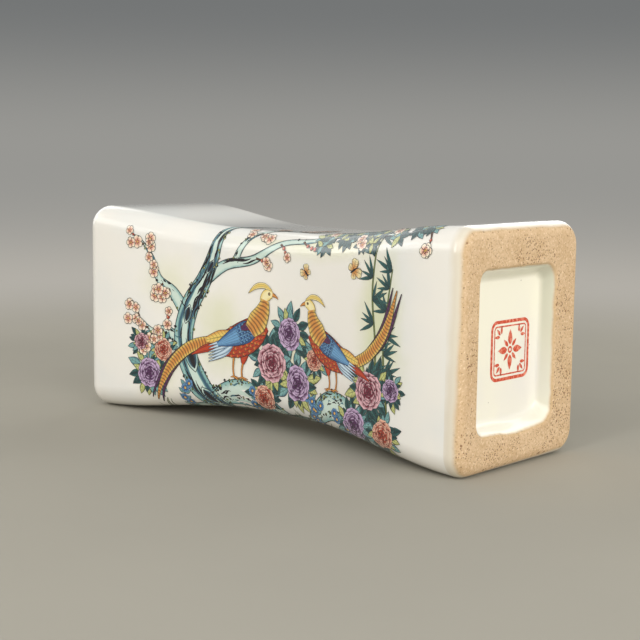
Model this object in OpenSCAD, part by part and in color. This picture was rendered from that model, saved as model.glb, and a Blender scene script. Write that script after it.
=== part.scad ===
// Waisted porcelain pillow, built from clay slabs: four mitred walls, a closed end,
// a recessed base behind an unglazed foot, and the clay coils that seal the seams inside.
// It lies on its bottom wall: X runs along the pillow towards the foot, Y to the back, Z up.

/* [Body] */
// Length over both end faces
body_length = 190; // [160:1:240]
// Depth of an end face, front to back
end_depth = 71; // [64:1:90]
// Height of an end face
end_height = 83; // [76:1:110]
// Radius of the four long edges
edge_radius = 9; // [7:0.5:12]
// Rounding where the walls turn onto an end face
end_radius = 5; // [2:0.5:5]

/* [Waist] */
// How far the front and the back draw in at the middle
side_draw = 11; // [2:0.5:14]
// How far the top and the bottom draw in at the middle
crown_draw = 7; // [2:0.5:12]
// Power that broadens the hollow in the front and back, 1 for a plain cosine
side_power = 1; // [0.9:0.05:1.6]
// Power that broadens the hollow in the top and bottom, 1 for a plain cosine
crown_power = 1.3; // [0.9:0.05:1.6]

/* [Walls] */
// Thickness of the four wall slabs
wall = 5; // [4:0.5:6]
// Thickness of the closed end
closed_end = 6; // [5.5:0.5:9]
// Diameter of the vent that lets steam out of the hollow while it is fired
vent_bore = 4; // [3:0.5:6]

/* [Foot] */
// Depth of the recess, which is the thickness of the foot frame
recess_depth = 5.5; // [5.5:0.5:8]
// Width of the recess at its mouth, front to back
recess_width = 44; // [34:1:46]
// Height of the recess at its mouth
recess_height = 55; // [40:1:58]
// Corner radius of the recess at its mouth
recess_radius = 4; // [3:0.5:8]
// How far each side of the recess closes in towards its floor
recess_draft = 1.5; // [0.5:0.25:2]
// How far the recess sits forward of the middle of the end
recess_forward = 2.5; // [0:0.5:4]
// How far the recess sits below the middle of the end
recess_drop = 0.5; // [0:0.5:3]
// Thickness of the panel behind the recess
base_panel_thickness = 5; // [4:0.5:7]

/* [Seam coils] */
// Reach of a long coil along each wall, past the round of the corner
coil_reach = 3; // [2:0.5:5]
// Leg of the coils around the two ends
end_coil_leg = 5; // [3:0.5:7]

/* [Hidden] */
$fn = 96;
cut = 1; // overrun of a cutting tool past the face it opens
coil_hollow = 0.4; // how far along its legs' diagonal the face of a long coil sits
tight_radius = 1; // smallest corner radius on the inner line of an end coil
wall_steps = 36; // stations along the walls
outer_steps = 6; // facets in half of an outer corner
inner_steps = 3; // facets in half of an inner corner
half_length = body_length / 2;
mid_height = end_height / 2;
inner_radius = edge_radius - wall;
closed_face = closed_end - half_length; // inner face of the closed end
mouth_face = half_length - recess_depth; // where the walls and the base panel meet the foot
panel_face = mouth_face - base_panel_thickness; // inner face of the base panel
coil_start = closed_face + end_coil_leg;
coil_finish = panel_face - end_coil_leg;
coil_stations = [for (i = [0:wall_steps]) coil_start + (coil_finish - coil_start) * i / wall_steps];
wall_stations = concat([closed_face], coil_stations, [panel_face, mouth_face]);
glaze = "#f3efe4";
biscuit = "#d6b78d";
ivory = "#f6f0dc";
raw_clay = "#e7dcc8";

// The four corners count anticlockwise from the top back one, as seen from the foot.
top_back = 0;
top_front = 1;
bottom_front = 2;
bottom_back = 3;
corner_y = [1, -1, -1, 1];
corner_z = [1, 1, -1, -1];

// 1 at the middle of the pillow, 0 at its ends, level at both.
function waist(x, power) = 0.5 + 0.5 * cos(180 * pow(min(1, abs(x) / half_length), power));

function half_depth(x) = end_depth / 2 - side_draw * waist(x, side_power);

function half_height(x) = end_height / 2 - crown_draw * waist(x, crown_power);

// A point on the rounded corner of the cross section at x, inset from the outer skin.
function rim(x, corner, angle, inset, radius) = [
    x,
    corner_y[corner] * (half_depth(x) - inset - radius) + radius * cos(angle),
    mid_height + corner_z[corner] * (half_height(x) - inset - radius) + radius * sin(angle)
];

// Points along part of a corner: turn runs from 0 at its first wall to 1 at its second.
function corner_arc(x, corner, from, to, steps, inset, radius) = [
    for (i = [0:steps]) rim(x, corner, 90 * (corner + from + (to - from) * i / steps), inset, radius)
];

// The whole inner outline of the walls at x, or a smaller one inside it.
function inner_outline(x, inset, radius) = [
    for (corner = [0:3]) each corner_arc(x, corner, 0, 1, 2 * inner_steps, inset, radius)
];

// Cross section of one wall, from the mitre at its first corner to the mitre at its next.
function wall_section(x, first) = let (next = (first + 1) % 4) concat(
    corner_arc(x, first, 0.5, 1, outer_steps, 0, edge_radius),
    corner_arc(x, next, 0, 0.5, outer_steps, 0, edge_radius),
    corner_arc(x, next, 0.5, 0, inner_steps, wall, inner_radius),
    corner_arc(x, first, 1, 0.5, inner_steps, wall, inner_radius)
);

// Cross section of a coil pressed into an inner corner: two legs, the corner, and a hollow face.
function coil_section(x, corner) = let (
    first_wall = [0, cos(90 * corner), sin(90 * corner)],
    next_wall = [0, -sin(90 * corner), cos(90 * corner)],
    sharp_corner = rim(x, corner, 0, wall, 0),
    leg = inner_radius + coil_reach
) concat(
    [sharp_corner - leg * next_wall],
    corner_arc(x, corner, 0, 1, 2 * inner_steps, wall, inner_radius),
    [sharp_corner - leg * first_wall],
    [sharp_corner - coil_hollow * leg * (first_wall + next_wall)]
);

// Two triangles of a quad; a flipped quad takes the other diagonal, to match the face it lies on.
function quad(a, b, c, d, flipped) = flipped ? [[a, c, d], [a, d, b]] : [[a, c, b], [b, c, d]];

// A solid through equal-sized sections, closed by its first and last section.
module loft(sections, flipped_edges) {
    count = len(sections[0]);
    last = len(sections) - 1;
    sides = [
        for (i = [0:last - 1], j = [0:count - 1])
            let (k = (j + 1) % count, flipped = len(search(j, flipped_edges)) > 0)
            each quad(i * count + j, i * count + k, (i + 1) * count + j, (i + 1) * count + k, flipped)
    ];
    ends = [[for (j = [0:count - 1]) j], [for (j = [count - 1:-1:0]) last * count + j]];
    polyhedron([for (section = sections) each section], concat(ends, sides));
}

// A ring with the same number of points in each of its three outlines, all running the same way.
module triangular_ring(outlines) {
    count = len(outlines[0]);
    faces = [
        for (i = [0:2], j = [0:count - 1])
            let (k = (j + 1) % count, next = (i + 1) % 3)
            each quad(i * count + j, i * count + k, next * count + j, next * count + k, false)
    ];
    polyhedron([for (outline = outlines) each outline], faces);
}

module wall_slab(first) {
    closing_edge = 2 * outer_steps + 2 * inner_steps + 3;
    loft([for (x = wall_stations) wall_section(x, first)], [closing_edge]);
}

module seam_coil(corner) {
    wall_edges = [for (j = [0:2 * inner_steps + 1]) j];
    loft([for (x = coil_stations) coil_section(x, corner)], wall_edges);
}

// Half of a bar with one rounded top edge, standing on the X axis.
module rounded_edge_profile(reach, radius) {
    intersection() {
        union() {
            square([reach - radius, radius]);
            translate([reach - radius, 0]) circle(radius);
        }
        square([reach, radius]);
    }
}

// The end outline as a plate that lies on z = 0, with its upper edge rounded.
module end_plate(thickness, depth, height) {
    flat_depth = depth - 2 * edge_radius;
    flat_height = height - 2 * edge_radius;
    straight = thickness - end_radius;
    linear_extrude(straight) {
        square([flat_depth, height], center = true);
        square([depth, flat_height], center = true);
        for (i = [0:3])
            translate([corner_y[i] * flat_depth / 2, corner_z[i] * flat_height / 2]) circle(edge_radius);
    }
    translate([-flat_depth / 2, -flat_height / 2, straight]) cube([flat_depth, flat_height, end_radius]);
    translate([0, 0, straight]) {
        for (i = [0:3])
            translate([corner_y[i] * flat_depth / 2, corner_z[i] * flat_height / 2])
                rotate_extrude() rounded_edge_profile(edge_radius, end_radius);
        for (side = [0, 180]) {
            rotate(side) translate([flat_depth / 2, flat_height / 2, 0]) rotate([90, 0, 0])
                linear_extrude(flat_height) rounded_edge_profile(edge_radius, end_radius);
            rotate(side + 90) translate([flat_height / 2, flat_depth / 2, 0]) rotate([90, 0, 0])
                linear_extrude(flat_depth) rounded_edge_profile(edge_radius, end_radius);
        }
    }
}

// Turns a plate that lies on z = 0 so that its upper face looks along X, at the given inner face.
module facing_foot(inner_face) {
    translate([inner_face, 0, mid_height]) rotate([90, 0, 90]) children();
}

// The drafted hollow in the foot, run on past both faces of the frame.
module recess_hollow() {
    slope = recess_draft / recess_depth;
    sections = [
        for (x = [mouth_face - cut, half_length + cut])
            let (
                inset = slope * (half_length - x),
                radius = recess_radius - inset / 2,
                y = recess_width / 2 - inset - radius,
                z = recess_height / 2 - inset - radius
            )
            [
                for (corner = [0:3], i = [0:outer_steps])
                    let (angle = 90 * (corner + i / outer_steps))
                    [
                        x,
                        corner_y[corner] * y + radius * cos(angle) - recess_forward,
                        mid_height - recess_drop + corner_z[corner] * z + radius * sin(angle)
                    ]
            ]
    ];
    loft(sections, []);
}

module top_slab() {
    color(glaze) wall_slab(top_back);
}

module bottom_slab() {
    color(glaze) wall_slab(bottom_front);
}

module front_slab() {
    color(glaze) wall_slab(top_front);
}

module back_slab() {
    color(glaze) wall_slab(bottom_back);
}

module closed_end_slab() {
    color(glaze) difference() {
        mirror([1, 0, 0]) facing_foot(-closed_face) end_plate(closed_end, end_depth, end_height);
        translate([-half_length - cut, 0, mid_height]) rotate([0, 90, 0])
            cylinder(d = vent_bore, h = closed_end + 2 * cut);
    }
}

module foot_frame() {
    color(biscuit) difference() {
        facing_foot(mouth_face) end_plate(recess_depth, end_depth, end_height);
        recess_hollow();
    }
}

module base_panel() {
    color(ivory) loft([for (x = [panel_face, mouth_face]) inner_outline(x, wall, inner_radius)], []);
}

module top_front_seam_coil() {
    color(raw_clay) seam_coil(top_front);
}

module top_back_seam_coil() {
    color(raw_clay) seam_coil(top_back);
}

module bottom_front_seam_coil() {
    color(raw_clay) seam_coil(bottom_front);
}

module bottom_back_seam_coil() {
    color(raw_clay) seam_coil(bottom_back);
}

module closed_end_seam_coil() {
    inset = wall + end_coil_leg;
    color(raw_clay) triangular_ring([
        inner_outline(closed_face, wall, inner_radius),
        inner_outline(coil_start, wall, inner_radius),
        inner_outline(closed_face, inset, tight_radius)
    ]);
}

module base_seam_coil() {
    inset = wall + end_coil_leg;
    color(raw_clay) triangular_ring([
        inner_outline(coil_finish, wall, inner_radius),
        inner_outline(panel_face, wall, inner_radius),
        inner_outline(panel_face, inset, tight_radius)
    ]);
}

top_slab();
bottom_slab();
front_slab();
back_slab();
closed_end_slab();
foot_frame();
base_panel();
top_front_seam_coil();
top_back_seam_coil();
bottom_front_seam_coil();
bottom_back_seam_coil();
closed_end_seam_coil();
base_seam_coil();
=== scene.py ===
import math
import random
from functools import partialmethod

import bpy
from mathutils import Matrix, Vector


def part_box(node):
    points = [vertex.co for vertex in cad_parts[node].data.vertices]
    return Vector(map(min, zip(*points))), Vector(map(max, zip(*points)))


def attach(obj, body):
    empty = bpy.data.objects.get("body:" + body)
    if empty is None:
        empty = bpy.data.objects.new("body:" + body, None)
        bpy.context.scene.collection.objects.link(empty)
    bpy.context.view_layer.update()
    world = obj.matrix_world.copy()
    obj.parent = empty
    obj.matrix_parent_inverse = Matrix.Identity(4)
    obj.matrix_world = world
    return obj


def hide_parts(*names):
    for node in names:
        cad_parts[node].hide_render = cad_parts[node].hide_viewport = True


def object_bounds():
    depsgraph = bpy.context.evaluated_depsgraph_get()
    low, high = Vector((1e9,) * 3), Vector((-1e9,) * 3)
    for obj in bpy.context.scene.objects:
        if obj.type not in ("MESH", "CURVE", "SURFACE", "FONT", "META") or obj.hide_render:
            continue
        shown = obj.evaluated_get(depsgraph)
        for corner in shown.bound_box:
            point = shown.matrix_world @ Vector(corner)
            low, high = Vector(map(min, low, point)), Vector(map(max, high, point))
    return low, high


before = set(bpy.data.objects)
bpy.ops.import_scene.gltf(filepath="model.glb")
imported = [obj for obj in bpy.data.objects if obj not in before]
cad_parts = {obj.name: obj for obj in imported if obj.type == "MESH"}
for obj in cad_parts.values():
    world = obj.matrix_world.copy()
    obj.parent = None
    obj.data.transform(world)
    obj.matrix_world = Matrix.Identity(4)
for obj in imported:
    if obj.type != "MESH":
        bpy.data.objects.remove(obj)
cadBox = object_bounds()
bpy.context.scene.view_settings.view_transform = "Standard"
mm = 0.001
quarterTurn = math.pi / 2
fullTurn = 2 * math.pi
low, high = cadBox
print("frame loaded, box", [round(side, 4) for side in high - low])

# Sizes of the pillow in metres: the box and the end faces come from the frame
pillow = {
    "halfLength": (high.x - low.x) / 2,
    "halfDepth": (high.y - low.y) / 2,
    "halfHeight": (high.z - low.z) / 2,
    "closedFace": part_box("closed_end_slab")[1].x,
    "mouthFace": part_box("foot_frame")[0].x,
    "edgeRadius": 9 * mm, "endRadius": 5.5 * mm, "wall": 5 * mm,
    "sideDraw": 11 * mm, "sidePower": 1.0,  # how far and how broadly the front and back draw in
    "crownDraw": 7 * mm, "crownPower": 1.3,  # the same for the top and bottom
}
midHeight = pillow["halfHeight"]


# Node trees: a wire is a node's output, and arithmetic on wires adds Math nodes to their tree

class Wire:
    def __init__(self, socket):
        self.socket = socket

    def asFirst(self, operation, *others):
        return calc(operation, self, *others)

    def asSecond(self, operation, other):
        return calc(operation, other, self)

    __abs__ = partialmethod(asFirst, "ABSOLUTE")
    __add__ = partialmethod(asFirst, "ADD")
    __sub__ = partialmethod(asFirst, "SUBTRACT")
    __rsub__ = partialmethod(asSecond, "SUBTRACT")
    __mul__ = partialmethod(asFirst, "MULTIPLY")
    __truediv__ = partialmethod(asFirst, "DIVIDE")
    __rtruediv__ = partialmethod(asSecond, "DIVIDE")
    __pow__ = partialmethod(asFirst, "POWER")
    __lt__ = partialmethod(asFirst, "LESS_THAN")
    __gt__ = partialmethod(asFirst, "GREATER_THAN")


def feed(sockets, values):
    for key, value in values.items():
        if isinstance(value, Wire):
            value.socket.id_data.links.new(value.socket, sockets[key])
        else:
            sockets[key].default_value = value


# Adds a node to a tree, by default that of the wires that feed it, and gives back one output or several
def put(kind, feeds=None, out=0, tree=None, **settings):
    feeds = feeds or {}
    if tree is None:
        tree = next(value.socket.id_data for value in feeds.values() if isinstance(value, Wire))
    node = tree.nodes.new(kind)
    for name, value in settings.items():
        setattr(node, name, value)
    feed(node.inputs, feeds)
    if isinstance(out, tuple):
        return [Wire(node.outputs[key]) for key in out]
    return Wire(node.outputs[out])


def calc(operation, *values):
    return put("ShaderNodeMath", dict(enumerate(values)), operation=operation)


def lowest(first, second):
    return calc("MINIMUM", first, second)


def highest(first, *others):
    for other in others:
        first = calc("MAXIMUM", first, other)
    return first


# A Mix node's colours are its inputs 6 and 7 and its output 2
def mixColour(factor, first, second):
    return put("ShaderNodeMix", {0: factor, 6: first, 7: second}, 2, data_type="RGBA")


def fadeIn(value, start, finish):
    feeds = {"Value": value, "From Min": start, "From Max": finish}
    return put("ShaderNodeMapRange", feeds, interpolation_type="SMOOTHSTEP")


def noise(place, scale, detail=3.0, out=0):
    return put("ShaderNodeTexNoise", {"Vector": place, "Scale": scale, "Detail": detail}, out)


# Scattered cells: a number for each cell, and the distance from its middle
def cells(place, scale):
    tint, away = put("ShaderNodeTexVoronoi", {"Vector": place, "Scale": scale}, ("Color", "Distance"))
    return put("ShaderNodeSeparateColor", {0: tint}), away


def vectorMath(operation, *values, out=0):
    return put("ShaderNodeVectorMath", dict(enumerate(values)), out, operation=operation)


def objectPlace(tree):
    return put("ShaderNodeTexCoord", out="Object", tree=tree)


def meshValue(tree, name, out="Fac"):
    return put("ShaderNodeAttribute", out=out, tree=tree, attribute_name=name)


def bump(height, strength, distance):
    return put("ShaderNodeBump", {"Height": height, "Strength": strength, "Distance": distance})


# An input has a default, or the name of its kind where it has none
def newTree(name, kind, inputs, outputs):
    tree = bpy.data.node_groups.new(name, kind)
    for label, value in inputs.items():
        width = len(value) if isinstance(value, tuple) else 1
        socketKind = value if isinstance(value, str) else {1: "Float", 3: "Vector", 4: "Color"}[width]
        socket = tree.interface.new_socket(label, in_out="INPUT", socket_type="NodeSocket" + socketKind)
        if value != socketKind:
            socket.default_value = value
    for label, socketKind in outputs.items():
        tree.interface.new_socket(label, in_out="OUTPUT", socket_type="NodeSocket" + socketKind)
    given = {socket.name: Wire(socket) for socket in tree.nodes.new("NodeGroupInput").outputs}
    return tree, given, tree.nodes.new("NodeGroupOutput").inputs


def newMaterial(name, constants):
    material = bpy.data.materials.new(name)
    material.use_nodes = True
    shader = material.node_tree.nodes["Principled BSDF"].inputs
    feed(shader, constants)
    return material, material.node_tree, shader


# Meshes and pieces

def addObject(name, data):
    item = bpy.data.objects.new(name, data)
    bpy.context.collection.objects.link(item)
    return item


def newMesh(name, points, faces=(), edges=()):
    mesh = bpy.data.meshes.new(name)
    mesh.from_pydata(points, edges, faces)
    return mesh


def carry(mesh, label, numbers, kind="FLOAT", field="value"):
    mesh.attributes.new(label, kind, "POINT").data.foreach_set(field, numbers)


sharpAngle = math.radians(50)


def smooth(mesh):
    mesh.shade_smooth()
    mesh.set_sharp_from_angle(angle=sharpAngle)


# Runs a geometry tree on a mesh and keeps the result as a plain mesh at the origin
def grow(name, mesh, tree, values):
    piece = addObject(name, mesh)
    modifier = piece.modifiers.new("shape", "NODES")
    modifier.node_group = tree
    for item in tree.interface.items_tree:
        if item.in_out == "INPUT" and item.name in values:
            modifier[item.identifier] = values[item.name]
    graph = bpy.context.evaluated_depsgraph_get()
    grown = bpy.data.meshes.new_from_object(piece.evaluated_get(graph), depsgraph=graph)
    piece.modifiers.remove(modifier)
    piece.data = grown
    grown.name = name
    grown.materials.clear()
    grown.materials.append(values["Material"])
    smooth(grown)
    print(name, len(grown.polygons), "faces")
    return piece


def settle(piece, slot, *nodes):
    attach(piece, "root")
    if nodes:
        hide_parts(*nodes)


# sRGB 0 to 255 to the linear colour that shaders take
def paint(red, green, blue):
    shares = (red / 255, green / 255, blue / 255)
    return (*(((share + 0.055) / 1.055) ** 2.4 for share in shares), 1.0)


# Glaze and clay

glaze = {
    # cream, used near the foot, is partly glaze thinned over the clay and partly painted shade
    "white": paint(243, 238, 227), "cool": paint(234, 233, 226), "cream": paint(222, 212, 192),
    # the grey-green tint is painted shade for the walls of the recess
    "ivory": paint(250, 245, 224), "wallShade": paint(219, 217, 196), "speck": paint(104, 78, 58),
    "mottleScale": 26.0, "mottleFade": (0.4, 0.75),
    "speckScale": 190.0, "speckSize": 0.055, "speckRarity": 0.965, "speckStrength": 0.7,
    "rippleScale": 70.0, "rippleBump": (0.12, 0.2 * mm),  # strength and depth
}
gloss = {"Roughness": 0.2, "Specular IOR Level": 0.15, "Coat Weight": 0.8, "Coat Roughness": 0.06}
finishOutputs = {"Colour": "Color", "Height": "Float"}


def glazeGroup():
    inputs = {"Tint": glaze["white"], "Cool tint": glaze["cool"], "Speck": 1.0}
    tree, given, results = newTree("Glaze surface", "ShaderNodeTree", inputs, finishOutputs)
    place = objectPlace(tree)
    mottle = fadeIn(noise(place, glaze["mottleScale"]), *glaze["mottleFade"])
    body = mixColour(mottle, given["Tint"], given["Cool tint"])
    pick, away = cells(place, glaze["speckScale"])
    dot = (away < glaze["speckSize"]) * (pick > glaze["speckRarity"])
    speck = dot * given["Speck"] * glaze["speckStrength"]
    ripple = noise(place, glaze["rippleScale"], detail=2.0)
    feed(results, {"Colour": mixColour(speck, body, glaze["speck"]), "Height": ripple})
    return tree


glazeTree = glazeGroup()


def useFinish(tree, group, feeds=None):
    return put("ShaderNodeGroup", feeds, tuple(finishOutputs), tree, node_tree=group)


def glazeMaterial(name, tint, coolTint, speck):
    material, tree, shader = newMaterial(name, gloss)
    colour, ripple = useFinish(tree, glazeTree, {"Tint": tint, "Cool tint": coolTint, "Speck": speck})
    feed(shader, {"Base Color": colour, "Normal": bump(ripple, *glaze["rippleBump"])})
    return material, colour, shader


# Soft tints brushed on the front before the picture, as ellipses with ragged edges
wash = {
    "spots": [  # centre and spread in mm, tint and strength
        ((-25, 36), (15, 20), paint(206, 210, 140), 0.42), ((-50, 54), (17, 13), paint(214, 216, 160), 0.34),
        ((-56, 20), (15, 14), paint(204, 206, 150), 0.45), ((8, 32), (20, 20), paint(214, 212, 150), 0.4),
        ((59, 46), (14, 32), paint(196, 204, 120), 0.5), ((38, 18), (20, 12), paint(216, 196, 176), 0.4),
        ((20, 74), (44, 8), paint(214, 214, 150), 0.45),
    ],
    "ragScale": 90.0, "rag": 0.8, "fade": (0.1, 1.15),  # rag and fade are shares of the spread
}


def washGroup():
    inputs = {"Centre": (0, 0, 0), "Spread": (1, 1, 1), "Strength": 1.0}
    tree, given, results = newTree("Colour wash", "ShaderNodeTree", inputs, {"Mask": "Float"})
    place = objectPlace(tree)
    offset = vectorMath("SUBTRACT", place, given["Centre"])
    reach = vectorMath("LENGTH", vectorMath("DIVIDE", offset, given["Spread"]), out="Value")
    ragged = (noise(place, wash["ragScale"], detail=5.0) - 0.5) * wash["rag"]
    mask = 1.0 - fadeIn(reach + ragged, *wash["fade"])
    feed(results, {"Mask": mask * given["Strength"]})
    return tree


def frontGlaze():
    material, colour, shader = glazeMaterial("enamelledGlaze", glaze["white"], glaze["cool"], 1.0)
    washTree = washGroup()
    for (x, z), (spreadX, spreadZ), tint, strength in wash["spots"]:
        centre = (x * mm, -pillow["halfDepth"], z * mm)
        feeds = {"Centre": centre, "Spread": (spreadX * mm, 1.0, spreadZ * mm), "Strength": strength}
        mask = put("ShaderNodeGroup", feeds, "Mask", material.node_tree, node_tree=washTree)
        colour = mixColour(mask, colour, tint)
    feed(shader, {"Base Color": colour})
    return material


clay = {
    "sand": paint(217, 187, 149), "pale": paint(233, 207, 171), "dark": paint(196, 162, 120),
    "pore": paint(126, 88, 58), "flush": paint(200, 170, 126), "raw": paint(231, 220, 200),
    "patchScale": 130.0, "patchFade": (0.35, 0.7), "patchDepth": 0.45,
    "gritScale": 1250.0, "paleGrit": (0.55, 0.72), "darkGrit": (0.47, 0.3), "gritHeight": 0.6,
    "rawPores": 0.3, "rawBump": (0.4, 0.1 * mm),  # strength and depth
    "poreScales": (720.0, 1300.0), "poreGrowth": 0.66, "poreLoss": 0.24, "poreEdge": 0.09, "poreDepth": 0.8,
    "crowdScale": 110.0, "crowdFade": (0.4, 0.62), "crowdGain": 0.5, "crowdLeast": 0.72,
    "shoveScale": 1500.0, "shove": (0.5 * mm, 0.5 * mm, 0.5 * mm),
}


def grainGroup():
    inputs = {"Light": clay["pale"], "Middle": clay["sand"], "Dark": clay["dark"], "Pores": 1.0}
    tree, given, results = newTree("Clay grain", "ShaderNodeTree", inputs, finishOutputs)
    place = objectPlace(tree)
    patches = fadeIn(noise(place, clay["patchScale"], detail=4.0), *clay["patchFade"])
    grit = noise(place, clay["gritScale"])
    body = mixColour(patches, given["Middle"], mixColour(clay["patchDepth"], given["Middle"], given["Dark"]))
    body = mixColour(fadeIn(grit, *clay["paleGrit"]), body, given["Light"])
    body = mixColour(fadeIn(grit, *clay["darkGrit"]), body, given["Dark"])
    # pores: round cells pulled about a little, larger where they crowd
    shove = noise(place, clay["shoveScale"], detail=2.0, out="Color")
    shoved = vectorMath("MULTIPLY_ADD", shove, clay["shove"], place)
    crowd = fadeIn(noise(place, clay["crowdScale"], detail=2.0), *clay["crowdFade"])
    room = crowd * clay["crowdGain"] + clay["crowdLeast"]
    pores = 0.0
    for scale in clay["poreScales"]:
        pick, away = cells(shoved, scale)
        size = (pick * clay["poreGrowth"] - clay["poreLoss"]) * room
        pores = highest(pores, 1.0 - fadeIn(away, size - clay["poreEdge"], size))
    pores = pores * given["Pores"]
    colour = mixColour(pores * clay["poreDepth"], body, clay["pore"])
    feed(results, {"Colour": colour, "Height": grit * clay["gritHeight"] - pores})
    return tree


grainTree = grainGroup()

# Where the glaze stops on the foot: widths in metres from the edge into the bare clay
glazeEdge = {
    "wanderScale": 120.0, "wander": 1.4 * mm, "softness": (-0.7 * mm, 0.5 * mm), "outsideShare": 0.5,
    # the cream band toward the bare clay is partly thin glaze and partly painted shade
    "flushTo": 1.4 * mm, "flushStrength": 0.55, "creamAndShadeBand": (-5.2 * mm, -2 * mm),
    "bareRoughness": 0.65, "bareBump": (0.5, 0.15 * mm),
}


# Bare clay on the frame, glaze past its ragged edges: the mesh carries the depth into the bare band
def footMaterial():
    material, tree, shader = newMaterial("bareFoot", gloss)
    grain, grit = useFinish(tree, grainTree)
    skin, _ = useFinish(tree, glazeTree, {"Tint": glaze["ivory"], "Cool tint": glaze["white"], "Speck": 0.0})
    depth, inside, wallShading = (meshValue(tree, label) for label in ("bareDepth", "recess", "wallShading"))
    wander = (noise(objectPlace(tree), glazeEdge["wanderScale"], detail=6.0) - 0.5) * glazeEdge["wander"]
    edge = depth + wander
    # the border is softer around the outside than in the recess
    share = glazeEdge["outsideShare"]
    bare = fadeIn(edge * (inside * (1 - share) + share), *glazeEdge["softness"])
    flush = (1.0 - fadeIn(edge, 0.0, glazeEdge["flushTo"])) * glazeEdge["flushStrength"]
    # near the bare clay the glaze turns cream: partly thin glaze over the clay, partly painted shade that
    # darkens the turn
    creamAndShade = mixColour(fadeIn(edge, *glazeEdge["creamAndShadeBand"]), glaze["white"], glaze["cream"])
    # inside the recess the walls take the grey-green tint as painted shade
    glazed = mixColour(inside, creamAndShade, mixColour(wallShading, skin, glaze["wallShade"]))
    feed(shader, {
        "Base Color": mixColour(bare, glazed, mixColour(flush, grain, clay["flush"])),
        "Roughness": bare * glazeEdge["bareRoughness"] + gloss["Roughness"],
        "Coat Weight": (1.0 - bare) * gloss["Coat Weight"],
        "Normal": bump(grit * bare, *glazeEdge["bareBump"]),
    })
    return material


def rawClay():
    material, tree, shader = newMaterial("rawClay", {"Roughness": 0.85})
    feeds = {"Light": clay["raw"], "Middle": clay["raw"], "Dark": clay["pale"], "Pores": clay["rawPores"]}
    colour, grit = useFinish(tree, grainTree, feeds)
    feed(shader, {"Base Color": colour, "Normal": bump(grit, *clay["rawBump"])})
    return material


unevenPaint = {"roughening": 0.2, "bump": (0.15, 0.1 * mm)}  # strength and depth


# Painted enamel, rougher and raised where it is blotchy
def paintOn(shader, colour, blotch, roughness):
    feed(shader, {
        "Base Color": colour,
        "Roughness": blotch * unevenPaint["roughening"] + roughness,
        "Normal": bump(blotch, *unevenPaint["bump"]),
    })


whiteGlaze = glazeMaterial("whiteGlaze", glaze["white"], glaze["cool"], 1.0)[0]
ivoryGlaze = glazeMaterial("ivoryGlaze", glaze["ivory"], glaze["white"], 0.6)[0]
enamelledGlaze = frontGlaze()
bareFoot = footMaterial()
rawClayFinish = rawClay()
print("glaze and clay ready")


# The waisted surface: a place along the pillow, a girth from the middle of a wall and a height above it

depthwise = [pillow[size] for size in ("halfDepth", "sideDraw", "sidePower")]
heightwise = [pillow[size] for size in ("halfHeight", "crownDraw", "crownPower")]


# A wall's reach is its distance from the middle of the pillow, its span how far it runs to each side
def surfaceSizes(reach, span):
    labels = ("Reach", "Reach draw", "Reach power", "Span", "Span draw", "Span power")
    sizes = {"Half length": pillow["halfLength"], "Edge radius": pillow["edgeRadius"]}
    return sizes | dict(zip(labels, reach + span))


uprightSizes = surfaceSizes(depthwise, heightwise)
levelSizes = surfaceSizes(heightwise, depthwise)


def surfaceGroup():
    inputs = {"Along": 0.0, "Girth": 0.0, "Height": 0.0} | uprightSizes
    outputs = {"Position": "Vector", "Flat half": "Float"}
    tree, given, results = newTree("Waisted surface", "GeometryNodeTree", inputs, outputs)
    radius = given["Edge radius"]
    ratio = lowest(abs(given["Along"]) / given["Half length"], 1.0)

    def drawnIn(size):
        hollow = calc("COSINE", ratio ** given[size + " power"] * math.pi) * 0.5 + 0.5
        return given[size] - hollow * given[size + " draw"]

    flat = drawnIn("Span") - radius
    girth = abs(given["Girth"])
    over = highest(girth - flat, 0.0)
    turn = lowest(over / radius, quarterTurn)
    past = over - turn * radius
    arm = radius + given["Height"]
    across = calc("SIGN", given["Girth"]) * (arm * calc("SINE", turn) + lowest(girth, flat))
    rise = arm * calc("COSINE", turn) + (drawnIn("Reach") - radius - past)
    place = put("ShaderNodeCombineXYZ", {0: given["Along"], 1: across, 2: rise})
    feed(results, {"Position": place, "Flat half": flat})
    return tree


surfaceTree = surfaceGroup()


def onSurface(given, along, girth, height, out="Position"):
    feeds = {label: given[label] for label in uprightSizes}
    feeds |= {"Along": along, "Girth": girth, "Height": height}
    return put("GeometryNodeGroup", feeds, out, node_tree=surfaceTree)


def flatPlace(tree):
    return put("ShaderNodeSeparateXYZ", {0: put("GeometryNodeInputPosition", tree=tree)}, (0, 1))


def store(geometry, name, value, kind="FLOAT", domain="POINT"):
    feeds = {"Geometry": geometry, "Name": name, "Value": value}
    return put("GeometryNodeStoreNamedAttribute", feeds, data_type=kind, domain=domain)


def recall(tree, name, kind="FLOAT"):
    return put("GeometryNodeInputNamedAttribute", {"Name": name}, tree=tree, data_type=kind)


def turnAbout(axis, angle):
    return put("FunctionNodeEulerToRotation", {0: put("ShaderNodeCombineXYZ", {axis: angle})})


# A tree that starts from geometry, lies on the waisted surface and takes a material
def pieceTree(name, inputs):
    inputs = {"Geometry": "Geometry"} | inputs | uprightSizes | {"Material": "Material"}
    return newTree(name, "GeometryNodeTree", inputs, {"Geometry": "Geometry"})


# Turns a wall from facing up to facing its own side, and closes the tree
def finishTree(given, results, geometry):
    feeds = {"Geometry": geometry, "Translation": (0, 0, midHeight), "Rotation": turnAbout(0, given["Turn"])}
    real = put("GeometryNodeRealizeInstances", {"Geometry": put("GeometryNodeTransform", feeds)})
    done = put("GeometryNodeSetMaterial", {"Geometry": real, "Material": given["Material"]})
    feed(results, {"Geometry": done})


# Walls: a slab of even thickness from mitre to mitre

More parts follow.
